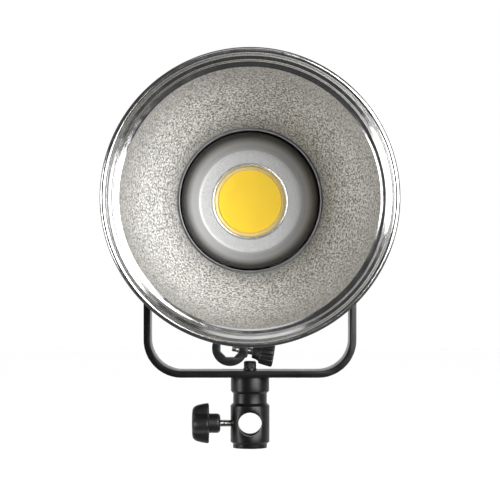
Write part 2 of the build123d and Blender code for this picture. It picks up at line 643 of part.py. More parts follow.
def umbrella_screw():
    """M5 screw with a blind hole in its end for the pad's stem."""
    start, chamfer, bore_r, bore_end = UMBRELLA_SCREW_START, 0.3, PAD_STEM_R + 0.05, 6.7
    return on_umbrella_axis(turned_x((start, bore_r), (start, M5_R - chamfer), (start + chamfer, M5_R),
                                     (UMBRELLA_SCREW_END, M5_R), (UMBRELLA_SCREW_END, 0), (bore_end, 0),
                                     (bore_end, bore_r)))


def umbrella_knob():
    """Fluted knob, a little wider at its outer end."""
    hub_start, start, end, grip_r, flute_r, flutes = 15.6, 20.4, 30.4, 8.4, 0.75, 14
    grip = prism_x(fluted(grip_r, flute_r, flutes), start, end)
    taper = turned_x((start, 0), (start, 6.6), (start + 0.9, 7.4), (end - 1.2, grip_r),
                     (end, grip_r - 1), (end, 0))
    hub = turned_x((hub_start, 0), (hub_start, 4.4), (18.0, 4.8), (start, 5.8), (start, 0))
    return on_umbrella_axis((grip & taper) + hub - rod_x(M5_R, 0, UMBRELLA_SCREW_END))


# ---- Cooling ------------------------------------------------------------------------------------
def fan_frame():
    """Square duct with a hub on four struts behind the rotor."""
    corner_r, strut_t, strut_w, hub_r, shaft_bore = 4.0, 3.0, 4.0, 16.0, 2.05
    outline = RectangleRounded(2 * FAN_HALF, 2 * FAN_HALF, corner_r) - Circle(FAN_HOLE_R)
    for xz in FAN_SCREW_XZ:
        outline -= Pos(*xz) * Circle(2.2)
    strut = Pos(27, FAN_REAR - strut_t / 2, 0) * Box(24, strut_t, strut_w)
    struts = [Rot(0, angle, 0) * strut for angle in (45, 135, 225, 315)]
    frame = prism_y(outline, FAN_FRONT, FAN_REAR) + rod_y(hub_r, FAN_REAR - strut_t, FAN_REAR) + struts
    return frame - rod_y(shaft_bore, FAN_FRONT, FAN_REAR - 1)


def fan_rotor():
    """Hub with seven pitched blades, on a shaft in the frame's hub."""
    blades, pitch_deg, hub_r, shaft_r = 7, 38, 16.5, 2.0
    blade = Pos(26, (FAN_FRONT + FAN_REAR) / 2 - 1, 0) * Rot(pitch_deg, 0, 0) * Box(21.5, 22, 1.4)
    rotor = rod_y(hub_r, FAN_FRONT + 2, FAN_REAR - 4) + rod_y(shaft_r, FAN_REAR - 5, FAN_REAR - 1.2)
    return rotor + [Rot(0, k * 360 / blades, 0) * blade for k in range(blades)]


def fan_screws():
    """Long screws through the fan's corners into the heat sink."""
    shank_r, head_r, head_h, tip = 2.1, 3.4, 2.0, FAN_FRONT - 1.9
    return Compound([rod_y(shank_r, tip, FAN_REAR, xz) + rod_y(head_r, FAN_REAR, FAN_REAR + head_h, xz)
                     for xz in FAN_SCREW_XZ])


# ---- Electronics --------------------------------------------------------------------------------
def driver_board():
    """Mains driver board on four posts from the housing's floor."""
    floor, under, post_r = WALL - HOUSING_H / 2, DRIVER_Z - BOARD_T / 2, 2.5
    board = Pos(0, DRIVER_Y, DRIVER_Z) * Box(DRIVER_W, DRIVER_L, BOARD_T)
    return board + [rod_z(post_r, floor, under, (x, DRIVER_Y + y)) for x in (-34, 34) for y in (-13, 13)]


def driver_components():
    """Transformer, chokes, capacitors and heat spreader on the mains driver."""
    top = DRIVER_Z + BOARD_T / 2
    blocks = [                             # x, y, width, depth, height
        (-20, 48, 24, 20, 18),
        (10, 45, 18, 16, 14),
        (30, 54, 10, 28, 22),
        (-22, 64, 30, 10, 6),
    ]
    cans = [(6, 62, 6.5, 19), (18, 63, 4, 13), (-37, 50, 4.4, 16)]      # x, y, radius, height
    parts = [Pos(x, y, top + height / 2) * Box(width, depth, height) for x, y, width, depth, height in blocks]
    return Compound(parts + [rod_z(radius, top, top + height, (x, y)) for x, y, radius, height in cans])


def control_board():
    """Board behind the rear panel on four posts, with a tactile switch behind each button."""
    width, height, centre_z, switch, switch_t, post_r = 100.0, 50.0, 15.0, 6.0, 2.8, 2.4
    rear = CONTROL_BOARD_REAR
    board = block_y((width, height), rear - BOARD_T, rear, (0, centre_z))
    board -= rod_y(4.2, rear - BOARD_T, rear, DIAL_XZ)
    switches = [block_y((switch, switch), rear, rear + switch_t, (x, BUTTON_Z)) for x in BUTTON_XS]
    posts = [rod_y(post_r, rear, PANEL_INSIDE, (x, z)) for x in (-45, 45) for z in (-5, 33)]
    return board + switches + posts


def display_module():
    return block_y((DISPLAY_W + 4, DISPLAY_H + 4), CONTROL_BOARD_REAR, CONTROL_BOARD_REAR + 8, DISPLAY_XZ)


def display_window():
    gap, corner_r = 0.15, 2.35
    window = RectangleRounded(DISPLAY_W - 2 * gap, DISPLAY_H - 2 * gap, corner_r)
    return prism_y(Pos(*DISPLAY_XZ) * window, PANEL_REAR - 1.8, PANEL_REAR + 0.2)


def dial_encoder():
    """Rotary encoder with its threaded bush."""
    body_end, bush_r, bush_h = CONTROL_BOARD_REAR + 6.8, 3.9, 3.0
    body = block_y((12, 12), CONTROL_BOARD_REAR, body_end, DIAL_XZ)
    body += rod_y(bush_r, body_end, body_end + bush_h, DIAL_XZ)
    return body - rod_y(DIAL_SHAFT_R + PLAY, CONTROL_BOARD_REAR, PANEL_REAR, DIAL_XZ)


def dial_knob():
    """Knurled dial with a pointer notch, on its shaft."""
    x, z = DIAL_XZ
    base, face, flute_r, flutes = PANEL_REAR + 1.4, PANEL_REAR + 11.5, 0.55, 30
    edge = turned_y((0, base), (DIAL_R, base), (DIAL_R, face - 1.7), (DIAL_R - 1.4, face - 0.3),
                    (DIAL_R - 3.4, face), (0, face))
    knob = prism_y(Pos(x, z) * fluted(DIAL_R, flute_r, flutes), base, face) & Pos(x, 0, z) * edge
    knob -= Pos(x, face, z + 0.65 * DIAL_R) * Box(1.2, 1.0, 5.2)
    return knob + rod_y(DIAL_SHAFT_R, CONTROL_BOARD_REAR + 2.2, base, DIAL_XZ)


def button(x):
    """Push button with a flange that keeps it behind the panel."""
    place, flange_r, flange_rear = (x, BUTTON_Z), 4.9, PANEL_INSIDE - 0.3
    stem = rod_y(BUTTON_R, PANEL_INSIDE - 6.0, PANEL_REAR + 1.6, place)
    return stem + rod_y(flange_r, flange_rear - 1.5, flange_rear, place)


ROCKER_TILT = 7.0
ROCKER_PIVOT_Y = PANEL_REAR - 1.0
ROCKER_PIVOT_R = 1.0


def rocker_switch():
    """Power rocker, at rest with its outer half pressed; it turns about Z through its pivot."""
    half_l, half_h, pivot_half = 9.6, 6.2, 7.4
    outline = make_face(Polyline((-half_l, 4.2), (0, 2.4), (half_l, 4.2), (half_l, -1.4), (0, -3.6),
                                 (-half_l, -1.4), close=True)) & Circle(9.9)
    body = prism_z(outline, -half_h, half_h) + rod_z(ROCKER_PIVOT_R, -pivot_half, pivot_half)
    return Pos(ROCKER_XZ[0], ROCKER_PIVOT_Y, ROCKER_XZ[1]) * Rot(0, 0, -ROCKER_TILT) * body


def rocker_frame():
    """Snap-in frame and contact block of the rocker switch."""
    opening = Pos(*ROCKER_XZ) * Rectangle(21.0, 13.2)
    block_front, block_rear = PANEL_REAR - 19.0, PANEL_REAR - 9.0
    bezel = prism_y(Pos(*ROCKER_XZ) * RectangleRounded(27, 19, 1.6) - opening, PANEL_REAR, PANEL_REAR + 2.0)
    sleeve = prism_y(Pos(*ROCKER_XZ) * Rectangle(*ROCKER_BODY) - opening, block_rear, PANEL_REAR)
    block = block_y(ROCKER_BODY, block_front, block_rear, ROCKER_XZ)
    pivot = Pos(ROCKER_XZ[0], ROCKER_PIVOT_Y, ROCKER_XZ[1]) * Cylinder(ROCKER_PIVOT_R + 0.06, 15.2)
    return bezel + sleeve + block - pivot


INLET_FRONT, INLET_FLOOR, INLET_FLANGE_T = PANEL_REAR - 18.0, PANEL_REAR - 15.0, 2.5
INLET_PIN = (2.0, 4.0)
INLET_PIN_XZ = [(INLET_XZ[0] + x, INLET_XZ[1] + z) for x, z in ((-7.0, -2.0), (7.0, -2.0), (0.0, 1.6))]
INLET_SCREW_XZ = [(INLET_XZ[0] + side * INLET_EAR, INLET_XZ[1]) for side in (-1, 1)]


def mains_inlet():
    """Three-pin mains inlet with screw ears."""
    flange_rear = PANEL_REAR + INLET_FLANGE_T
    body = prism_y(Pos(*INLET_XZ) * RectangleRounded(50, 22.5, 5), PANEL_REAR, flange_rear)
    body += block_y(INLET_BODY, INLET_FRONT, PANEL_REAR, INLET_XZ)
    half_w, half_h, chamfer = 12.0, 8.0, 4.5
    recess = make_face(Polyline((-half_w, -half_h), (half_w, -half_h), (half_w, half_h - chamfer),
                                (half_w - chamfer, half_h), (chamfer - half_w, half_h),
                                (-half_w, half_h - chamfer), close=True))
    body -= prism_y(Pos(*INLET_XZ) * recess, INLET_FLOOR, flange_rear)
    for xz in INLET_PIN_XZ:
        body -= block_y(INLET_PIN, INLET_FRONT, INLET_FLOOR, xz)
    for xz in INLET_SCREW_XZ:
        body -= rod_y(M3_R + FREE, PANEL_REAR, flange_rear, xz)
    return body


def inlet_pins():
    return Compound([block_y(INLET_PIN, INLET_FRONT, PANEL_REAR - 1.5, xz) for xz in INLET_PIN_XZ])


def inlet_screws():
    """Countersunk-style screws in the inlet's ears."""
    head_h, head_r, length, seat = 1.4, 2.7, 7.0, PANEL_REAR + INLET_FLANGE_T
    screw = turned_y((0, head_h), (1.6, head_h), (head_r, 0), (M3_R, 0), (M3_R, -length), (0, -length))
    screw -= Pos(0, head_h, 0) * Box(0.7, 1.2, 4)
    return Compound([Pos(x, seat, z) * screw for x, z in INLET_SCREW_XZ])


def rear_panel():
    """Moulded rear cover with openings for the controls and the mains inlet."""
    edge_r, rim_wall, gap, outside = 2.4, 2.5, 0.1, PANEL_REAR + 1
    panel = prism_y(housing_outline(), HOUSING_REAR, PANEL_REAR)
    panel = fillet(panel.faces().sort_by(Axis.Y)[-1].edges(), edge_r)
    panel -= prism_y(housing_outline(rim_wall), HOUSING_REAR, PANEL_INSIDE)
    window_seat = Pos(*DISPLAY_XZ) * RectangleRounded(DISPLAY_W, DISPLAY_H, 2.5)
    panel -= prism_y(window_seat, PANEL_REAR - 1.8, outside)
    panel -= block_y((DISPLAY_W - 4, DISPLAY_H - 4), HOUSING_REAR, outside, DISPLAY_XZ)
    for (width, height), xz in ((INLET_BODY, INLET_XZ), (ROCKER_BODY, ROCKER_XZ)):
        panel -= block_y((width + 2 * gap, height + 2 * gap), HOUSING_REAR, outside, xz)
    panel -= rod_y(DIAL_SHAFT_R + 1, HOUSING_REAR, outside, DIAL_XZ)
    for x in BUTTON_XS:
        panel -= rod_y(BUTTON_R + 0.3, HOUSING_REAR, outside, (x, BUTTON_Z))
    for xz in [*TIE_ROD_XZ, *INLET_SCREW_XZ]:
        panel -= rod_y(M3_R + FREE, HOUSING_REAR, outside, xz)
    return panel


# ---- Nodes --------------------------------------------------------------------------------------
STAND_PARTS = [stand_adapter, yoke_bracket, adapter_lock_washer, adapter_screw]
CLAMP_PARTS = [clamp_pad, clamp_screw, clamp_knob]
HEAD_PARTS = [
    pivot_bosses, pivot_nuts, friction_washers, pivot_washers, pivot_bolt, lever_stud, tilt_lever,
    front_plate, mount_ring, mount_ring_screws, mount_springs,
    lower_housing, upper_housing, seam_strips, seam_screws, tie_rods, front_screws, rear_screws,
    heat_sink, led_substrate, led_phosphor, led_dam, led_bezel, cup_floor, lamp_cup,
    reflector_shell, rim_wire, reflector_collar,
    umbrella_holder, umbrella_screws, umbrella_pad, umbrella_screw, umbrella_knob,
    fan_frame, fan_rotor, fan_screws,
    driver_board, driver_components, control_board, display_module, display_window, dial_encoder, dial_knob,
    rocker_switch, rocker_frame, mains_inlet, inlet_pins, inlet_screws, rear_panel,
]


def write(name, shape):
    export_step(shape, f"parts/{name}.step")


def main():
    os.makedirs("parts", exist_ok=True)
    for maker in STAND_PARTS:
        write(maker.__name__, maker())
    for maker in CLAMP_PARTS:
        write(maker.__name__, Pos(0, 0, CLAMP_Z) * maker())
    for maker in HEAD_PARTS:
        write(maker.__name__, in_head(maker()))
    for number, x in enumerate(BUTTON_XS, 1):
        write(f"button_{number}", in_head(button(x)))


main()
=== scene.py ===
"""Looks of a studio LED light head: bowl reflector, lamp cup, yoke, stand adapter and knobs.

Metres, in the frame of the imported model: +Z up, the light shines towards -Y, and the origin is the
centre of the stand socket's mouth. The object's own sizes are in millimetres and scaled by MM where
used; the floor, the camera and the lights are in metres.
"""

import json
from math import atan2, cos, hypot, pi, radians, sin, tau

import bmesh
import bpy
from mathutils import Matrix, Vector

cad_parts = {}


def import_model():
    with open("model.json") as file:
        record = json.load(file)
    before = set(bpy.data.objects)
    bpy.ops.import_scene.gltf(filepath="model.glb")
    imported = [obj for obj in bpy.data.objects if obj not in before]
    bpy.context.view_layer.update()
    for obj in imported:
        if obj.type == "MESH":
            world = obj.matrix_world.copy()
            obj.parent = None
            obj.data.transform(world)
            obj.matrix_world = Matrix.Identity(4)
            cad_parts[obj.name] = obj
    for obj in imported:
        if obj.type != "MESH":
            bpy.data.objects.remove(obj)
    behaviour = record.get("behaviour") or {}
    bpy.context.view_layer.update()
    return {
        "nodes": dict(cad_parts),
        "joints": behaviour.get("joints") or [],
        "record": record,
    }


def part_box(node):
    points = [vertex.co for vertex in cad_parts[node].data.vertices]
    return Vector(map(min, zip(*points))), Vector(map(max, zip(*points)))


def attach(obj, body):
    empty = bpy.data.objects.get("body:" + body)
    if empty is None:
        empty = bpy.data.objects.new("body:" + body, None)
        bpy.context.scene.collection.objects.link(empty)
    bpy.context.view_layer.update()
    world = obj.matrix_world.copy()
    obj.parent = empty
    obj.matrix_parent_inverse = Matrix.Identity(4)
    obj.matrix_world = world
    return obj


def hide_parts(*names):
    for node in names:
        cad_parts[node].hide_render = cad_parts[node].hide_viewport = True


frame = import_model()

MM = 0.001
JOINTS = {joint["name"]: joint for joint in frame["joints"]}
BODY_OF = {node: body for body, nodes in frame["record"]["behaviour"]["bodies"].items() for node in nodes}
SLOT_OF = {part["node"]: part["material_slot"] for part in frame["record"]["subparts"]}
LAMP_AXIS = Vector(JOINTS["head_tilt"]["pos_m"])
UP, REARWARD, RIGHTWARD = Vector((0, 0, 1)), Vector((0, 1, 0)), Vector((1, 0, 0))


# ---- Mesh helpers -------------------------------------------------------------------------------
def along(axis, origin):
    """Matrix that sets a shape made along +Z on the given axis."""
    turn = Vector(axis).to_track_quat("Z", "Y").to_matrix().to_4x4()
    return Matrix.Translation(Vector(origin)) @ turn


def make_object(name, vertices, faces, materials, zones=None, smooth_deg=35):
    """Smooth-shaded object; zones gives each face's place in the list of materials."""
    mesh = bpy.data.meshes.new(name)
    mesh.from_pydata(vertices, [], faces)
    for material in materials:
        mesh.materials.append(material)
    if zones is not None:
        mesh.polygons.foreach_set("material_index", zones)
    bm = bmesh.new()
    bm.from_mesh(mesh)
    bmesh.ops.recalc_face_normals(bm, faces=bm.faces)
    bm.to_mesh(mesh)
    bm.free()
    mesh.shade_smooth()
    mesh.set_sharp_from_angle(angle=radians(smooth_deg))
    piece = bpy.data.objects.new(name, mesh)
    bpy.context.scene.collection.objects.link(piece)
    return piece


def revolve(name, stations, place, materials, segments=96, zones=None, loop=False, smooth_deg=35):
    """Mesh turned about an axis. A station is (radius in mm or a function of the angle, height in mm).

    An open run of stations that starts or ends at radius zero is closed there by a fan; a loop is a
    closed section, such as a ring's.
    """
    vertices, rings = [], []
    for radius, height in stations:
        if radius == 0:
            rings.append([len(vertices)])
            vertices.append(place @ Vector((0, 0, height * MM)))
            continue
        ring = []
        for step in range(segments):
            angle = tau * step / segments
            r = radius(angle, height) if callable(radius) else radius
            ring.append(len(vertices))
            vertices.append(place @ Vector((r * cos(angle) * MM, r * sin(angle) * MM, height * MM)))
        rings.append(ring)
    faces, face_zones = [], []
    following = rings[1:] + rings[:1] if loop else rings[1:]
    for index, (low, high) in enumerate(zip(rings, following)):
        zone = zones[index] if zones else 0
        for step in range(segments):
            after = (step + 1) % segments
            if len(low) == 1:
                face = (low[0], high[after], high[step])
            elif len(high) == 1:
                face = (low[step], low[after], high[0])
            else:
                face = (low[step], low[after], high[after], high[step])
            faces.append(face)
            face_zones.append(zone)
    return make_object(name, vertices, faces, materials, face_zones, smooth_deg)


def soften(points, radius, steps=4):
    """Rounds the corners between a run's two ends, each by at most the given distance."""
    longest_share = 0.45

    def towards(corner, other):
        """Point on the way from a corner to its neighbour, where the rounding begins."""
        reach = hypot(other[0] - corner[0], other[1] - corner[1])
        cut = min(radius, longest_share * reach)
        return [corner[k] + (other[k] - corner[k]) * cut / reach for k in (0, 1)]

    result = [points[0]]
    for before, corner, after in zip(points, points[1:], points[2:]):
        start, end = towards(corner, before), towards(corner, after)
        for step in range(steps + 1):
            t = step / steps
            result.append(tuple((1 - t) ** 2 * start[k] + 2 * t * (1 - t) * corner[k] + t ** 2 * end[k]
                                for k in (0, 1)))
    return result + [points[-1]]


def arc_through(a, b, c, count):
    """Points of the circular arc from a through b to c."""
    d = 2 * (a[0] * (b[1] - c[1]) + b[0] * (c[1] - a[1]) + c[0] * (a[1] - b[1]))
    squares = [p[0] ** 2 + p[1] ** 2 for p in (a, b, c)]
    centre_x = (squares[0] * (b[1] - c[1]) + squares[1] * (c[1] - a[1]) + squares[2] * (a[1] - b[1])) / d
    centre_y = (squares[0] * (c[0] - b[0]) + squares[1] * (a[0] - c[0]) + squares[2] * (b[0] - a[0])) / d
    radius = hypot(a[0] - centre_x, a[1] - centre_y)
    start, middle, end = [atan2(p[1] - centre_y, p[0] - centre_x) for p in (a, b, c)]
    sweep = (end - start) % tau
    if (middle - start) % tau > sweep:
        sweep -= tau
    angles = [start + sweep * k / count for k in range(count + 1)]
    return [(centre_x + radius * cos(angle), centre_y + radius * sin(angle)) for angle in angles]


def round_edges(node, width, material):
    """Stands a copy with rounded edges in place of a CAD node."""
    edge_angle, flat_angle, weld_distance = radians(30), radians(0.5), 0.002 * MM
    mesh = frame["nodes"][node].data.copy()
    mesh.materials.clear()
    mesh.materials.append(material)
    bm = bmesh.new()
    bm.from_mesh(mesh)
    bmesh.ops.remove_doubles(bm, verts=bm.verts, dist=weld_distance)
    bmesh.ops.dissolve_limit(bm, angle_limit=flat_angle, verts=bm.verts, edges=bm.edges)
    bm.to_mesh(mesh)
    bm.free()
    if "custom_normal" in mesh.attributes:
        mesh.attributes.remove(mesh.attributes["custom_normal"])
    piece = bpy.data.objects.new(node + "_looks", mesh)
    bpy.context.scene.collection.objects.link(piece)
    bevel = piece.modifiers.new("edges", "BEVEL")
    bevel.width = width * MM
    bevel.segments = 2
    bevel.limit_method = "ANGLE"
    bevel.angle_limit = edge_angle
    bpy.context.view_layer.objects.active = piece
    piece.select_set(True)
    bpy.ops.object.modifier_apply(modifier=bevel.name)
    piece.select_set(False)
    mesh.shade_smooth()
    mesh.set_sharp_from_angle(angle=edge_angle)
    stand_for(piece, BODY_OF[node], SLOT_OF[node], node)


def stand_for(piece, body, slot, *nodes):
    """Rides a piece on a body and hides the CAD nodes that it stands for. The slot is not used."""
    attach(piece, body)
    if nodes:
        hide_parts(*nodes)


# ---- Materials ----------------------------------------------------------------------------------
NOISE_RANGE = (0.3, 0.7)


class Surface:
    """A node material under construction. Grain sizes and relief are in millimetres."""

    def __init__(self, name, color, metallic, roughness, **sockets):
        self.material = bpy.data.materials.new(name)
        self.material.use_nodes = True
        self.tree = self.material.node_tree
        self.shader = self.tree.nodes["Principled BSDF"]
        self.shader.inputs["Base Color"].default_value = (*color, 1)
        self.shader.inputs["Metallic"].default_value = metallic
        self.shader.inputs["Roughness"].default_value = roughness
        for socket, value in sockets.items():
            self.shader.inputs[socket.replace("_", " ")].default_value = value
        self.coords = self.node("ShaderNodeTexCoord").outputs["Object"]
        self.color = color
        self.bumps = None

    def node(self, kind, **settings):
        made = self.tree.nodes.new(kind)
        for key, value in settings.items():
            setattr(made, key, value)
        return made

    def link(self, output, target):
        self.tree.links.new(output, target)

    def stretched(self, scale):
        """Object coordinates scaled unevenly, for grain that runs one way."""
        mapping = self.node("ShaderNodeMapping")
        mapping.inputs["Scale"].default_value = scale
        self.link(self.coords, mapping.inputs["Vector"])
        return mapping.outputs["Vector"]

    def about_axis(self, origin, axis):
        """Distance, in metres, from the line through a point along X, Y or Z, given as 0, 1 or 2."""
        offset = self.node("ShaderNodeVectorMath", operation="SUBTRACT")
        self.link(self.coords, offset.inputs[0])
        offset.inputs[1].default_value = origin
        flat = self.node("ShaderNodeVectorMath", operation="MULTIPLY")
        self.link(offset.outputs[0], flat.inputs[0])
        flat.inputs[1].default_value = tuple(0 if k == axis else 1 for k in range(3))
        length = self.node("ShaderNodeVectorMath", operation="LENGTH")
        self.link(flat.outputs[0], length.inputs[0])
        return length.outputs["Value"]

    def noise(self, grain_mm, detail=3.0, roughness=0.55, vector=None, distortion=0.0):
        """Noise whose largest grains are about the given size."""
        noise = self.node("ShaderNodeTexNoise")
        noise.inputs["Scale"].default_value = 1 / (grain_mm * MM)
        noise.inputs["Detail"].default_value = detail
        noise.inputs["Roughness"].default_value = roughness
        noise.inputs["Distortion"].default_value = distortion
        self.link(vector or self.coords, noise.inputs["Vector"])
        return noise.outputs["Fac"]

    def turned_lines(self, grain_mm, origin, axis):
        """Fine lines round such a line, as turning or spinning leaves them."""
        noise = self.node("ShaderNodeTexNoise", noise_dimensions="2D")
        noise.inputs["Scale"].default_value = 1 / (grain_mm * MM)
        noise.inputs["Detail"].default_value = 2.0
        both = self.node("ShaderNodeCombineXYZ")
        split = self.node("ShaderNodeSeparateXYZ")
        self.link(self.coords, split.inputs[0])
        self.link(self.about_axis(origin, axis), both.inputs["X"])
        self.link(split.outputs[axis], both.inputs["Y"])
        self.link(both.outputs[0], noise.inputs["Vector"])
        return noise.outputs["Fac"]

    def cells(self, size_mm):
        """Soft round cells, as powder paint leaves them."""
        cells = self.node("ShaderNodeTexVoronoi", feature="SMOOTH_F1")
        cells.inputs["Scale"].default_value = 1 / (size_mm * MM)
        cells.inputs["Smoothness"].default_value = 0.9
        self.link(self.coords, cells.inputs["Vector"])
        return cells.outputs["Distance"]

    def spread(self, value, low, high, start, end):
        """Maps start..end onto low..high."""
        spread = self.node("ShaderNodeMapRange")
        spread.inputs["From Min"].default_value = start
        spread.inputs["From Max"].default_value = end
        spread.inputs["To Min"].default_value = low
        spread.inputs["To Max"].default_value = high
        self.link(value, spread.inputs["Value"])
        return spread.outputs["Result"]

    def vary_roughness(self, value, low, high):
        """Changes the roughness from low to high over a noise's usual range."""
        self.link(self.spread(value, low, high, *NOISE_RANGE), self.shader.inputs["Roughness"])

    def vary_color(self, value, other, start=NOISE_RANGE[0], end=NOISE_RANGE[1]):
        """Blends the base colour into another one as the value goes from start to end."""
        mix = self.node("ShaderNodeMix", data_type="RGBA")
        mix.inputs["A"].default_value = (*self.color, 1)
        mix.inputs["B"].default_value = (*other, 1)
        previous = self.shader.inputs["Base Color"]
        if previous.is_linked:
            self.link(previous.links[0].from_socket, mix.inputs["A"])
        self.link(self.spread(value, 0, 1, start, end), mix.inputs["Factor"])
        self.link(mix.outputs["Result"], self.shader.inputs["Base Color"])

    def bump(self, value, height_mm):
        """Adds relief of the given height to what is there already."""
        bump = self.node("ShaderNodeBump")
        bump.inputs["Strength"].default_value = 1.0
        bump.inputs["Distance"].default_value = height_mm * MM
        self.link(value, bump.inputs["Height"])
        if self.bumps:
            self.link(self.bumps, bump.inputs["Normal"])
        self.bumps = bump.outputs["Normal"]
        self.link(self.bumps, self.shader.inputs["Normal"])


def stippled_aluminium():
    """Silver with a fine rolled grain; painted shade darkens the grain's hollows and both ends of the bowl.
    """
    surface = Surface("stippled_aluminium", (1.0, 1.0, 1.0), 0.42, 0.42)
    grain = surface.noise(1.15, 2.0, 0.5, distortion=0.25)
    surface.bump(grain, 0.9)
    surface.bump(surface.noise(0.6, 2.0), 0.08)
    surface.vary_roughness(surface.noise(1.6, 2.0), 0.34, 0.5)
    from_axis = surface.about_axis(LAMP_AXIS, 1)
    # Painted shade: darker towards the neck's opening.
    surface.vary_color(from_axis, (0.36, 0.36, 0.355), 0.058, 0.044)
    # Painted shade: darker and a little warmer towards the rim.
    surface.vary_color(from_axis, (0.44, 0.437, 0.427), 0.069, 0.085)
    # Painted shade in the grain's hollows, where the bump is low.
    surface.vary_color(grain, (0.17, 0.17, 0.167), 0.60, 0.38)
    return surface.material


def spun_aluminium():
    surface = Surface("spun_aluminium", (0.80, 0.80, 0.80), 1.0, 0.16)
    lines = surface.turned_lines(0.35, LAMP_AXIS, 1)
    surface.bump(lines, 0.006)
    surface.vary_roughness(surface.noise(6.0), 0.12, 0.24)
    surface.vary_color(surface.noise(20, 4.0), (0.70, 0.70, 0.71))
    return surface.material


def dull_aluminium():
    surface = Surface("dull_aluminium", (0.30, 0.30, 0.30), 0.8, 0.42)
    surface.bump(surface.turned_lines(0.3, LAMP_AXIS, 1), 0.004)
    surface.vary_roughness(surface.noise(3.0), 0.36, 0.48)
    surface.vary_color(surface.noise(8.0, 4.0), (0.22, 0.22, 0.22))
    return surface.material


def satin_silver():
    """Satin wall of the cup, with painted shade that darkens it towards its lip."""
    surface = Surface("satin_silver", (0.44, 0.44, 0.44), 0.0, 0.5, Specular_IOR_Level=0.2)
    surface.bump(surface.noise(0.25, 2.0), 0.010)
    surface.vary_roughness(surface.noise(2.5), 0.44, 0.56)
    surface.vary_color(surface.noise(0.5, 2.0), (0.40, 0.40, 0.40), 0.35, 0.65)
    from_axis = surface.about_axis(LAMP_AXIS, 1)
    # Painted shade: grey, then nearly black, towards the lip.
    surface.vary_color(from_axis, (0.20, 0.20, 0.20), 0.0380, 0.0405)
    surface.vary_color(from_axis, (0.02, 0.02, 0.02), 0.0405, 0.0425)
    return surface.material


def blasted_silver():
    """Silver paint over a fine blasted grain, on the cup's floor."""
    surface = Surface("blasted_silver", (0.68, 0.68, 0.675), 0.25, 0.5)
    grain = surface.noise(0.45, 3.0)
    surface.bump(grain, 0.03)
    surface.vary_color(grain, (0.44, 0.44, 0.44), 0.4, 0.7)
    surface.vary_roughness(surface.noise(2.5), 0.44, 0.56)
    return surface.material


def bright_bevel():
    surface = Surface("bright_bevel", (0.95, 0.95, 0.94), 0.9, 0.24)
    surface.bump(surface.turned_lines(0.15, LAMP_AXIS, 1), 0.004)
    surface.vary_roughness(surface.noise(3.0), 0.20, 0.28)
    return surface.material


def phosphor():
    # The emission is a painted glow; the LED itself is not lit.
    surface = Surface("phosphor", (0.93, 0.62, 0.015), 0.0, 0.42, Coat_Weight=0.12, Coat_Roughness=0.15,
                      Emission_Strength=0.16)
    surface.shader.inputs["Emission Color"].default_value = (1.0, 0.66, 0.02, 1)
    surface.vary_color(surface.noise(9.0, 2.0), (0.95, 0.65, 0.02))
    surface.vary_color(surface.noise(0.12, 2.0), (0.87, 0.53, 0.01), 0.5, 0.9)
    surface.vary_color(surface.about_axis(LAMP_AXIS, 1), (0.42, 0.25, 0.01), 0.0208, 0.0212)
    surface.bump(surface.noise(0.1, 2.0), 0.006)
    return surface.material


def yellow_silicone():
    # The emission is a painted glow on the dam, which gives no light.
    surface = Surface("yellow_silicone", (0.62, 0.50, 0.22), 0.0, 0.25, Coat_Weight=0.4, Coat_Roughness=0.1,
                      Emission_Strength=0.26)
    surface.shader.inputs["Emission Color"].default_value = (1.0, 0.80, 0.36, 1)
    surface.vary_color(surface.noise(2.5), (0.58, 0.44, 0.15))
    surface.bump(surface.noise(1.2, 2.0), 0.02)
    surface.vary_roughness(surface.noise(1.5), 0.12, 0.3)
    return surface.material


def black_powder_coat():
    surface = Surface("black_powder_coat", (0.004, 0.004, 0.0045), 0.0, 0.32, Specular_IOR_Level=0.4)
    surface.bump(surface.cells(0.42), 0.007)
    surface.vary_roughness(surface.noise(8.0, 4.0), 0.26, 0.38)
    surface.vary_color(surface.noise(14.0, 5.0), (0.007, 0.007, 0.0075), 0.45, 0.75)
    return surface.material


def housing_paint():
    """Dark satin powder coat of the casing, with a fine orange peel."""
    surface = Surface("housing_paint", (0.026, 0.026, 0.028), 0.0, 0.45)
    surface.bump(surface.cells(0.9), 0.02)
    surface.bump(surface.noise(0.25, 2.0), 0.004)
    surface.vary_roughness(surface.noise(5.0, 4.0), 0.42, 0.50)
    surface.vary_color(surface.noise(9.0, 5.0), (0.032, 0.032, 0.034), 0.45, 0.75)
    return surface.material


def shell_paint():
    """Satin black paint over the spun lines of the reflector's outside."""
    surface = Surface("shell_paint", (0.018, 0.018, 0.019), 0.0, 0.38, Specular_IOR_Level=0.3)
    surface.bump(surface.turned_lines(0.6, LAMP_AXIS, 1), 0.012)
    surface.bump(surface.noise(0.4, 2.0), 0.003)
    surface.vary_roughness(surface.noise(4.0, 4.0), 0.35, 0.42)
    surface.vary_color(surface.noise(8.0, 4.0), (0.024, 0.024, 0.025), 0.45, 0.75)
    return surface.material


def black_enamel():
    surface = Surface("black_enamel", (0.010, 0.010, 0.011), 0.0, 0.3)
    surface.bump(surface.noise(1.4, 2.0), 0.012)
    surface.vary_roughness(surface.noise(10.0, 4.0), 0.28, 0.36)
    surface.vary_color(surface.noise(12.0, 5.0), (0.014, 0.014, 0.015), 0.45, 0.75)
    return surface.material


def black_anodised():
    surface = Surface("black_anodised", (0.004, 0.004, 0.0045), 0.0, 0.34, Specular_IOR_Level=0.32)
    surface.bump(surface.turned_lines(0.22, (0, 0, 0), 2), 0.004)
    surface.bump(surface.noise(0.2, 2.0), 0.004)
    surface.vary_roughness(surface.noise(5.0, 4.0), 0.28, 0.42)
    surface.vary_color(surface.noise(9.0, 5.0), (0.007, 0.007, 0.0075), 0.45, 0.75)
    return surface.material


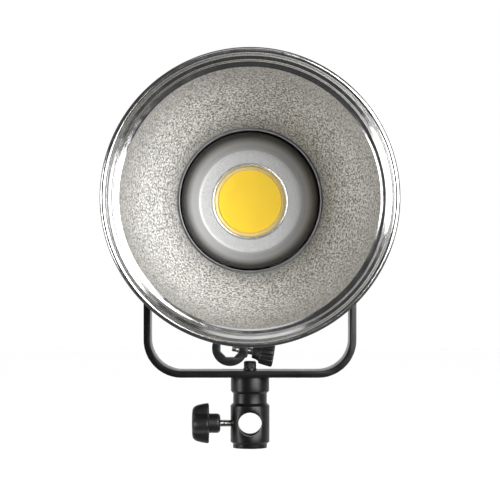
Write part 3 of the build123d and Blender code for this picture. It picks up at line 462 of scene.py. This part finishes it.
def black_oxide():
    surface = Surface("black_oxide", (0.010, 0.010, 0.010), 0.5, 0.28)
    surface.bump(surface.noise(0.35, 3.0), 0.006)
    surface.vary_roughness(surface.noise(1.6, 4.0), 0.22, 0.36)
    surface.vary_color(surface.noise(2.5, 5.0), (0.030, 0.030, 0.030), 0.5, 0.8)
    return surface.material


def textured_plastic(name, color, other, grain_mm=0.32, depth_mm=0.02):
    surface = Surface(name, color, 0.0, 0.46)
    surface.bump(surface.noise(grain_mm, 3.0), depth_mm)
    surface.vary_roughness(surface.noise(4.0, 4.0), 0.38, 0.54)
    surface.vary_color(surface.noise(7.0, 5.0), other, 0.4, 0.75)
    return surface.material


def satin_black():
    surface = Surface("satin_black", (0.010, 0.010, 0.011), 0.0, 0.28)
    surface.bump(surface.noise(0.5, 2.0), 0.006)
    surface.vary_roughness(surface.noise(5.0, 4.0), 0.2, 0.36)
    surface.vary_color(surface.noise(6.0, 4.0), (0.016, 0.016, 0.017), 0.45, 0.75)
    return surface.material


def brushed_metal(name, color, other, scale):
    """Bare metal with a fine grain, drawn out along the axes whose scale is small."""
    surface = Surface(name, color, 1.0, 0.2)
    grain = surface.noise(0.3, 3.0, vector=surface.stretched(scale))
    surface.bump(grain, 0.006)
    surface.vary_roughness(grain, 0.2, 0.36)
    surface.vary_color(surface.noise(5.0, 5.0), other, 0.4, 0.75)
    return surface.material


def circuit_board():
    """Green solder mask with raised tracks and tinned pads."""
    surface = Surface("circuit_board", (0.012, 0.10, 0.035), 0.0, 0.3, Coat_Weight=0.4)
    tracks = surface.node("ShaderNodeTexBrick", offset=0.35)
    tracks.inputs["Scale"].default_value = 1 / (9 * MM)
    tracks.inputs["Color1"].default_value = (0.1, 0.1, 0.1, 1)
    tracks.inputs["Color2"].default_value = (0.4, 0.4, 0.4, 1)
    tracks.inputs["Mortar"].default_value = (1, 1, 1, 1)
    tracks.inputs["Mortar Size"].default_value = 0.03
    surface.link(surface.coords, tracks.inputs["Vector"])
    surface.vary_color(tracks.outputs["Color"], (0.03, 0.20, 0.07), 0.3, 1.0)
    surface.bump(tracks.outputs["Color"], 0.03)
    return surface.material


def smoked_window():
    surface = Surface("smoked_window", (0.006, 0.007, 0.009), 0.0, 0.08, Coat_Weight=0.5,
                      Coat_Roughness=0.03)
    surface.vary_roughness(surface.noise(9.0, 5.0), 0.05, 0.14)
    surface.bump(surface.noise(12.0, 2.0), 0.004)
    return surface.material


def glowing_segment():
    surface = Surface("display_segment", (0.35, 0.62, 0.75), 0.0, 0.4, Emission_Strength=0.6)
    surface.shader.inputs["Emission Color"].default_value = (0.45, 0.8, 0.95, 1)
    surface.vary_color(surface.noise(0.4, 2.0), (0.30, 0.52, 0.66))
    return surface.material


def white_print():
    surface = Surface("white_print", (0.75, 0.75, 0.74), 0.0, 0.5)
    surface.vary_color(surface.noise(0.6, 3.0), (0.62, 0.62, 0.61))
    surface.bump(surface.noise(0.2, 2.0), 0.004)
    return surface.material


def ceramic_white():
    surface = Surface("ceramic_white", (0.80, 0.80, 0.77), 0.0, 0.5)
    surface.vary_color(surface.noise(2.0, 4.0), (0.70, 0.70, 0.68))
    surface.bump(surface.noise(0.3, 3.0), 0.006)
    return surface.material


def floor_paper():
    surface = Surface("floor_paper", (0.97, 0.97, 0.97), 0.0, 0.8)
    surface.vary_color(surface.noise(40.0, 3.0), (0.96, 0.96, 0.96))
    return surface.material


STIPPLED, SPUN, SILVER, BEVEL = stippled_aluminium(), spun_aluminium(), satin_silver(), bright_bevel()
BLASTED, DULL = blasted_silver(), dull_aluminium()
HOUSING, SHELL = housing_paint(), shell_paint()
POWDER, ENAMEL, ANODISED, OXIDE = black_powder_coat(), black_enamel(), black_anodised(), black_oxide()
KNOB = textured_plastic("moulded_black", (0.005, 0.005, 0.0055), (0.009, 0.009, 0.0095))
PANEL = textured_plastic("moulded_panel", (0.022, 0.022, 0.023), (0.028, 0.028, 0.029), 0.45, 0.03)
GREY = textured_plastic("moulded_grey", (0.16, 0.16, 0.165), (0.20, 0.20, 0.205), 0.3, 0.012)
GLOSSY = satin_black()
FIBRE = textured_plastic("friction_fibre", (0.05, 0.035, 0.025), (0.09, 0.065, 0.045), 0.5, 0.03)
STEEL = brushed_metal("zinc_steel", (0.62, 0.61, 0.58), (0.50, 0.48, 0.44), (1, 1, 1))
RING_STEEL = brushed_metal("ring_steel", (0.66, 0.66, 0.66), (0.56, 0.56, 0.56), (1, 6, 1))
BRASS = brushed_metal("turned_brass", (0.70, 0.50, 0.24), (0.58, 0.40, 0.20), (6, 1, 1))
MACHINED = brushed_metal("machined_aluminium", (0.72, 0.73, 0.74), (0.62, 0.63, 0.64), (1, 0.15, 1))
BOARD, WINDOW, SEGMENT, PRINT = circuit_board(), smoked_window(), glowing_segment(), white_print()
CERAMIC, PHOSPHOR, SILICONE = ceramic_white(), phosphor(), yellow_silicone()


# ---- Reflector ----------------------------------------------------------------------------------
def reflector():
    """Spun bowl: stippled inside, polished collar and rolled rim, black outside."""
    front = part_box("reflector_shell")[0].y / MM
    stipple, polished, painted, dull = 0, 1, 2, 3

    def behind(*points):
        """Points of the section, each given as (radius, distance behind the rim's front)."""
        return [(radius, front + distance) for radius, distance in points]

    bead_x, bead_r = 89.9, 1.9
    bead_from, paint_edge, bead_to = radians(-160), radians(-54), radians(100)

    def rolled(start, end, count):
        """Part of the rolled bead at the rim, from one angle of its round section to another."""
        angles = [start + (end - start) * k / count for k in range(count + 1)]
        return [(bead_x + bead_r * cos(angle), front + bead_r + bead_r * sin(angle)) for angle in angles]

    bowl_start, bowl_middle, bowl_end = behind((47.5, 89), (67.2, 57.4), (81.0, 17.5))
    collar = [bowl_end, *behind((82.3, 16.65), (84.5, 15.85), (84.75, 11.0), (87.5, 9.2), (88.2, 3.6))]
    back_start, back_middle, back_end = behind((81.9, 18.3), (68.02, 57.95), (48.5, 89.7))
    back_collar = [*behind((89.3, 4.2), (88.43, 9.8), (85.4, 11.7), (85.2, 16.75)), back_start]
    neck = [back_end, *behind((48.5, 92.8), (46.9, 92.8), (46.9, 107.4), (45.7, 107.4), (45.7, 89.8),
                              (46.5, 89.8), (46.5, 91.8), (47.5, 91.8)), bowl_start]
    runs = [
        (arc_through(bowl_start, bowl_middle, bowl_end, 56), stipple),
        (soften(collar, 0.7, 5), polished),
        (rolled(bead_from, paint_edge, 12), polished),
        (rolled(paint_edge, bead_to, 14), painted),
        (soften(back_collar, 0.7, 4), painted),
        (arc_through(back_start, back_middle, back_end, 40), painted),
        (soften(neck, 0.25, 3), dull),
    ]
    stations, zones = [], []
    for points, zone in runs:
        stations += points
        zones += [zone] * len(points)
    bowl = revolve("bowl", stations, along(REARWARD, LAMP_AXIS), [STIPPLED, SPUN, SHELL, DULL],
                   segments=360, zones=zones, loop=True, smooth_deg=40)
    stand_for(bowl, "reflector", SLOT_OF["reflector_shell"], "reflector_shell", "rim_wire")


def lamp():
    """Cup round the LED with its floor, the bright bevelled ring, the dam and the phosphor."""
    place = along(REARWARD, LAMP_AXIS)
    mouth_y, floor_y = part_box("lamp_cup")[0].y / MM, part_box("cup_floor")[0].y / MM
    mouth_r, floor_r, opening_r, wall = 43.3, 34.3, 25.5, 1.2
    floor_zone, wall_zone, flat_faces = 0, 1, 4

    def skin(out, back):
        """Floor, steep wall and mouth of one side of the cup's sheet."""
        corners = [(opening_r, floor_y + back), (floor_r + 0.6 + out, floor_y + back),
                   (mouth_r - 1.5 + out, mouth_y + 6.5), (mouth_r + out, mouth_y)]
        return soften(corners, 3.2, 8)

    section = skin(0, 0) + list(reversed(skin(wall, wall)))
    zones = [floor_zone] * flat_faces + [wall_zone] * (len(section) - flat_faces)
    cup = revolve("lamp_cup_looks", section, place, [BLASTED, SILVER], segments=256, zones=zones, loop=True)
    stand_for(cup, "head", SLOT_OF["lamp_cup"], "lamp_cup", "cup_floor")

    def crowned_ring(node, inner, outer, rise, material):
        """Ring with a rounded front, as deep as its CAD node."""
        low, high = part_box(node)
        middle, half, steps = (inner + outer) / 2, (outer - inner) / 2, 12
        angles = [pi * k / steps for k in range(steps + 1)]
        crown = [(middle - half * cos(angle), low.y / MM + rise * (1 - sin(angle))) for angle in angles]
        section = [(inner, high.y / MM), *crown, (outer, high.y / MM)]
        ring = revolve(node + "_looks", section, place, [material], segments=192, loop=True)
        stand_for(ring, "head", SLOT_OF[node], node)

    crowned_ring("led_bezel", 23.6, opening_r - 0.05, 0.8, BEVEL)
    crowned_ring("led_dam", 21.25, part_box("led_dam")[1].x / MM, 0.7, SILICONE)

    low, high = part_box("led_phosphor")
    radius, face, back = high.x / MM, low.y / MM, high.y / MM
    meniscus = [(0, face + 0.12), (radius * 0.5, face + 0.12), (radius * 0.85, face + 0.08),
                (radius - 0.5, face), (radius - 0.1, face + 0.05), (radius, back), (0, back)]
    disc = revolve("led_phosphor_looks", meniscus, place, [PHOSPHOR], segments=192)
    stand_for(disc, "head", SLOT_OF["led_phosphor"], "led_phosphor")


# ---- Knobs and screws ---------------------------------------------------------------------------
def knurled(radius, depth, ridges):
    """Radius of a ridged head, as a function of angle and height for revolve."""
    return lambda angle, height: radius - depth * (1 + cos(ridges * angle)) / 2


def threaded_rod(node, body, place, length):
    """Screw with a right-hand thread and chamfered ends, in place of a clamp's plain shaft."""
    radius, pitch, depth, steps_per_turn = 2.5, 0.8, 0.32, 8
    end_r, chamfer, plain_end = radius - 0.45, 0.15, 0.4

    def thread(angle, height):
        phase = (height / pitch - angle / tau) % 1
        return radius - depth * abs(2 * phase - 1)

    steps = int(length / (pitch / steps_per_turn))
    threaded = length - 2 * plain_end
    stations = [(0, 0), (radius * 0.7, 0), (end_r, chamfer)]
    stations += [(thread, plain_end + threaded * k / steps) for k in range(steps + 1)]
    stations += [(end_r, length - chamfer), (0, length)]
    rod = revolve(node + "_looks", stations, place, [STEEL], segments=36, smooth_deg=60)
    stand_for(rod, body, SLOT_OF[node], node)


def clamp_knob():
    """Four-lobed knob on the stand adapter's clamp screw."""
    low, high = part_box("clamp_knob")
    middle_z = (low.z + high.z) / 2

    def lobed(peak, valley):
        """Radius between the lobes' peaks and the valleys between them."""
        def at(angle, height):
            wave = (1 + cos(4 * angle)) / 2
            return valley + (peak - valley) * wave ** 0.8
        return at

    hub = soften([(0, 0), (5.3, 0), (6.7, 1.4), (6.7, 7.1)], 0.8, 4)
    stations = hub + [
        (6.75, 7.55), (7.2, 7.7), (lobed(12.6, 9.0), 7.8), (lobed(13.6, 9.5), 8.1), (lobed(13.9, 9.7), 8.7),
        (lobed(13.75, 9.75), 10.0), (lobed(13.4, 9.7), 12.0), (lobed(12.9, 9.6), 14.4),
        (lobed(12.3, 9.4), 16.4), (lobed(11.4, 9.0), 17.9), (lobed(10.2, 8.3), 18.9),
        (lobed(8.4, 7.2), 19.35), (5.0, 19.5), (0, 19.5)]
    place = along(-RIGHTWARD, (high.x, 0, middle_z))
    knob = revolve("clamp_knob_looks", stations, place, [KNOB], segments=160, smooth_deg=50)
    stand_for(knob, "clamp_knob", SLOT_OF["clamp_knob"], "clamp_knob")
    screw_low, screw_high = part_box("clamp_screw")
    threaded_rod("clamp_screw", "clamp_knob", along(RIGHTWARD, (screw_low.x, 0, middle_z)),
                 (screw_high.x - screw_low.x) / MM)


def umbrella_knob():
    """Fluted knob and threaded screw of the umbrella holder."""
    joint = JOINTS["umbrella_knob_turn"]
    place = along(-Vector(joint["axis"]), joint["pos_m"])
    flutes = 14

    def fluted(radius, depth):
        return lambda angle, height: radius - depth * max(0.0, cos(flutes * angle)) ** 3

    stations = soften([(0, 15.6), (4.4, 15.6), (4.8, 18.0), (5.7, 20.3)], 0.4, 3) + [
        (6.2, 20.4), (fluted(6.7, 0.1), 20.6), (fluted(7.3, 0.5), 21.3), (fluted(7.6, 0.75), 23.0),
        (fluted(8.0, 0.8), 26.0), (fluted(8.35, 0.8), 29.0), (fluted(8.15, 0.6), 29.8),
        (fluted(7.5, 0.2), 30.25), (6.6, 30.4), (5.6, 30.3), (5.3, 29.9), (0, 29.9)]
    knob = revolve("umbrella_knob_looks", stations, place, [KNOB], segments=196, smooth_deg=50)
    stand_for(knob, "umbrella_knob", SLOT_OF["umbrella_knob"], "umbrella_knob")
    screw_start, screw_length = 4.45, 19.5
    threaded_rod("umbrella_screw", "umbrella_knob", place @ Matrix.Translation((0, 0, screw_start * MM)),
                 screw_length)


def adapter_screw():
    """Socket head screw with a knurled head, seated on its split washer."""
    low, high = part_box("adapter_screw")
    shaft_r, head = 2.4, 5.0
    foot, seat, top = low.z / MM, high.z / MM - head, high.z / MM
    ridges, hex_across = 30, 4.0

    def hexagon(angle, height):
        return hex_across / 2 / cos((angle + pi / 6) % (pi / 3) - pi / 6)

    fine, full = knurled(4.2, 0.05, ridges), knurled(4.25, 0.22, ridges)
    stations = [(0, foot), (shaft_r, foot), (shaft_r, seat), (3.9, seat), (fine, seat + 0.25),
                (full, seat + 0.5), (full, seat + 4.1), (fine, seat + 4.4), (3.9, seat + 4.8), (3.6, top),
                (2.6, top), (hexagon, top - 0.25), (hexagon, seat + 2.3), (0, seat + 2.0)]
    screw = revolve("adapter_screw_looks", stations, along(UP, (0, 0, 0)), [OXIDE], segments=180,
                    smooth_deg=30)
    stand_for(screw, "yoke", SLOT_OF["adapter_screw"], "adapter_screw")


# ---- Rear panel ---------------------------------------------------------------------------------
def flat_bar(name, centre, size, material, body, slot):
    """Small raised bar with rounded ends on the rear panel, facing +Y."""
    x, y, z = centre
    width, height, thickness = size
    radius, steps = min(width, height) / 2, 4
    reach_x, reach_z = width / 2 - radius, height / 2 - radius
    outline = []
    for quarter, (side_x, side_z) in enumerate(((1, 1), (-1, 1), (-1, -1), (1, -1))):
        angles = [pi / 2 * (quarter + k / steps) for k in range(steps + 1)]
        outline += [(side_x * reach_x + radius * cos(angle), side_z * reach_z + radius * sin(angle))
                    for angle in angles]
    count = len(outline)
    vertices = [(x + px * MM, y, z + pz * MM) for px, pz in outline]
    vertices += [(x + px * MM, y + thickness * MM, z + pz * MM) for px, pz in outline]
    faces = [tuple(range(count)), tuple(range(2 * count - 1, count - 1, -1))]
    faces += [(k, (k + 1) % count, count + (k + 1) % count, count + k) for k in range(count)]
    stand_for(make_object(name, vertices, faces, [material]), body, slot)


def dial():
    """Knurled dial with a white pointer, and tick marks on the panel round it."""
    joint = JOINTS["dial_turn"]
    low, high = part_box("dial_knob")
    panel_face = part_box("rear_panel")[1].y
    face, base = high.y / MM, panel_face / MM + 1.4
    x, z = joint["pos_m"][0], joint["pos_m"][2]
    radius, stem_r, ridges = (high.x - low.x) / 2 / MM, 3.0, 48
    full = knurled(radius, 0.5, ridges)
    stations = [(0, low.y / MM), (stem_r, low.y / MM), (stem_r, base), (radius - 0.9, base),
                (knurled(radius - 0.2, 0.1, ridges), base + 0.4), (full, base + 1.0), (full, face - 2.2),
                (knurled(radius - 0.5, 0.2, ridges), face - 1.2), (radius - 1.5, face - 0.4),
                (radius - 2.6, face), (radius - 4.0, face), (radius - 4.6, face - 0.5), (0, face - 0.5)]
    knob = revolve("dial_looks", stations, along(REARWARD, (x, 0, z)), [KNOB], segments=288, smooth_deg=40)
    stand_for(knob, "dial", SLOT_OF["dial_knob"], "dial_knob")
    flat_bar("dial_pointer", (x, (face - 0.5) * MM, z + 0.55 * radius * MM), (1.1, 4.6, 0.25), PRINT, "dial",
             SLOT_OF["dial_knob"])
    ticks, sweep, reach = 11, radians(270), (radius + 3.2) * MM
    for tick in range(ticks):
        angle = -pi / 2 + (tau - sweep) / 2 + sweep * tick / (ticks - 1)
        centre = (x + reach * cos(angle), panel_face, z + reach * sin(angle))
        flat_bar(f"dial_tick_{tick + 1}", centre, (1.1, 1.1, 0.12), PRINT, "head", SLOT_OF["rear_panel"])


def display():
    """Plain bars behind the smoked window: a level gauge and two blank fields."""
    low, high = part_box("display_window")
    middle, width = (low.x + high.x) / 2, high.x - low.x
    bars, lit_bars, pitch, relief = 12, 8, 3.2 * MM, 0.05

    def segment(name, x, z, size_x, size_z):
        flat_bar(name, (x, high.y, z), (size_x, size_z, relief), SEGMENT, "head", SLOT_OF["display_window"])

    for bar in range(bars):
        x = middle + (bar - (bars - 1) / 2) * pitch
        segment(f"display_bar_{bar + 1}", x, low.z + 5.0 * MM, 2.2, 3.2 if bar < lit_bars else 1.0)
    field_z = high.z - 8.5 * MM
    segment("display_field_left", middle - 0.25 * width, field_z, 15, 5.5)
    segment("display_field_right", middle + 0.22 * width, field_z, 10, 5.5)


# ---- CAD nodes that keep their shape -------------------------------------------------------------
def finish_cad_nodes():
    """Rounded copies of the nodes whose edges show, and materials for the rest."""
    rounded = {
        "yoke_bracket": (0.35, POWDER), "stand_adapter": (0.25, ANODISED), "umbrella_holder": (0.5, ENAMEL),
        "tilt_lever": (0.3, KNOB), "pivot_bosses": (0.5, ANODISED), "pivot_bolt": (0.4, OXIDE),
        "front_plate": (0.4, HOUSING), "rear_panel": (0.3, PANEL), "mains_inlet": (0.3, GLOSSY),
        "rocker_frame": (0.3, GLOSSY), "rocker_switch": (0.25, GLOSSY),
    }
    replaced = ["reflector_shell", "rim_wire", "lamp_cup", "cup_floor", "led_bezel", "led_dam",
                "led_phosphor", "clamp_knob", "clamp_screw", "umbrella_knob", "umbrella_screw",
                "adapter_screw", "dial_knob"]
    plain = {
        "adapter_lock_washer": OXIDE, "clamp_pad": BRASS, "pivot_nuts": STEEL, "friction_washers": FIBRE,
        "pivot_washers": OXIDE, "lever_stud": STEEL, "mount_ring": RING_STEEL, "mount_ring_screws": STEEL,
        "mount_springs": RING_STEEL, "lower_housing": HOUSING, "upper_housing": HOUSING,
        "seam_strips": MACHINED, "seam_screws": OXIDE, "tie_rods": MACHINED, "front_screws": OXIDE,
        "rear_screws": OXIDE, "heat_sink": MACHINED, "led_substrate": CERAMIC,
        "reflector_collar": MACHINED, "umbrella_screws": OXIDE, "umbrella_pad": STEEL,
        "fan_frame": GLOSSY, "fan_rotor": GLOSSY, "fan_screws": STEEL, "driver_board": BOARD,
        "driver_components": GREY, "control_board": BOARD, "display_module": GREY,
        "display_window": WINDOW, "dial_encoder": STEEL, "button_1": GREY, "button_2": GREY,
        "button_3": GREY, "inlet_pins": STEEL, "inlet_screws": OXIDE,
    }
    materials = {**plain, **dict.fromkeys(replaced, GREY)}
    for node, (width, material) in rounded.items():
        round_edges(node, width, material)
        materials[node] = material
    for node, material in materials.items():
        mesh = frame["nodes"][node].data
        mesh.materials.clear()
        mesh.materials.append(material)


# ---- Stage --------------------------------------------------------------------------------------
def floor():
    """Pale floor under and behind the object; in front of it the dark room begins."""
    reach, front, height = 15.0, -0.6, -0.62
    corners = ((-reach, front), (reach, front), (reach, reach), (-reach, reach))
    mesh = bpy.data.meshes.new("floor")
    mesh.from_pydata([(x, y, height) for x, y in corners], [], [(0, 1, 2, 3)])
    mesh.materials.append(floor_paper())
    plane = bpy.data.objects.new("floor", mesh)
    bpy.context.scene.collection.objects.link(plane)
    plane.visible_glossy = False


def camera():
    """Level camera straight in front of the light, a little below its axis."""
    distance, lowered = 1.5, 0.0322
    data = bpy.data.cameras.new("camera")
    data.sensor_width = 36.0
    data.lens = 156.5
    data.clip_end = 100
    eye = bpy.data.objects.new("camera", data)
    eye.location = (0, -distance, LAMP_AXIS.z - lowered)
    eye.rotation_euler = (pi / 2, 0, 0)
    bpy.context.scene.collection.objects.link(eye)
    bpy.context.scene.camera = eye


def softbox(name, off_axis, clock, distance, size, radiance):
    """Soft white area light in front of the bowl. Its direction is given by the angle off the bowl's axis
    and the clock angle round it, in degrees from +X towards +Z."""
    off_axis, clock = radians(off_axis), radians(clock)
    direction = Vector((sin(off_axis) * cos(clock), -cos(off_axis), sin(off_axis) * sin(clock)))
    data = bpy.data.lights.new(name, "AREA")
    data.shape = "RECTANGLE"
    data.size, data.size_y = size
    data.energy = radiance * pi * size[0] * size[1]
    light = bpy.data.objects.new(name, data)
    light.location = LAMP_AXIS + direction * distance
    light.rotation_euler = direction.to_track_quat("Z", "Y").to_euler()
    light.visible_camera = False
    bpy.context.scene.collection.objects.link(light)


def lights():
    """Two broad lights on the right, a strip on the left and a weak light from above."""
    softbox("key_right", 31, 22, 2.0, (1.2, 1.3), 9.0)
    softbox("side_right", 50, 14, 2.0, (0.8, 1.8), 6.0)
    softbox("strip_left", 66, 186, 2.0, (0.8, 1.2), 7.5)
    softbox("overhead", 62, 92, 2.2, (1.4, 0.8), 0.8)


def world():
    """White backdrop to the camera; as light and in reflections it fades to a dark room in front."""
    surroundings = bpy.data.worlds.new("studio")
    surroundings.use_nodes = True
    tree = surroundings.node_tree
    tree.nodes.clear()
    direction = tree.nodes.new("ShaderNodeTexCoord")
    split = tree.nodes.new("ShaderNodeSeparateXYZ")
    tree.links.new(direction.outputs["Generated"], split.inputs[0])

    def backdrop(strength):
        made = tree.nodes.new("ShaderNodeBackground")
        made.inputs["Color"].default_value = (1, 1, 1, 1)
        made.inputs["Strength"].default_value = strength
        return made

    def fading(start, end, front, back):
        """Backdrop that changes from front to back between two values of the direction's Y."""
        made, fade = backdrop(back), tree.nodes.new("ShaderNodeMapRange")
        for socket, value in zip(("From Min", "From Max", "To Min", "To Max"), (start, end, front, back)):
            fade.inputs[socket].default_value = value
        tree.links.new(split.outputs["Y"], fade.inputs["Value"])
        tree.links.new(fade.outputs["Result"], made.inputs["Strength"])
        return made

    def choose(ray, otherwise, chosen):
        mix = tree.nodes.new("ShaderNodeMixShader")
        tree.links.new(path.outputs[ray], mix.inputs[0])
        tree.links.new(otherwise.outputs[0], mix.inputs[1])
        tree.links.new(chosen.outputs[0], mix.inputs[2])
        return mix

    path = tree.nodes.new("ShaderNodeLightPath")
    ambient, reflected = fading(-0.45, 0.0, 0.05, 1.85), fading(-0.20, 0.60, 0.05, 0.9)
    shown = choose("Is Camera Ray", choose("Is Diffuse Ray", reflected, ambient), backdrop(1.0))
    tree.links.new(shown.outputs[0], tree.nodes.new("ShaderNodeOutputWorld").inputs["Surface"])
    bpy.context.scene.world = surroundings


bpy.context.scene.view_settings.view_transform = "Standard"
camera()
world()
lights()
floor()
finish_cad_nodes()
reflector()
lamp()
clamp_knob()
umbrella_knob()
adapter_screw()
dial()
display()
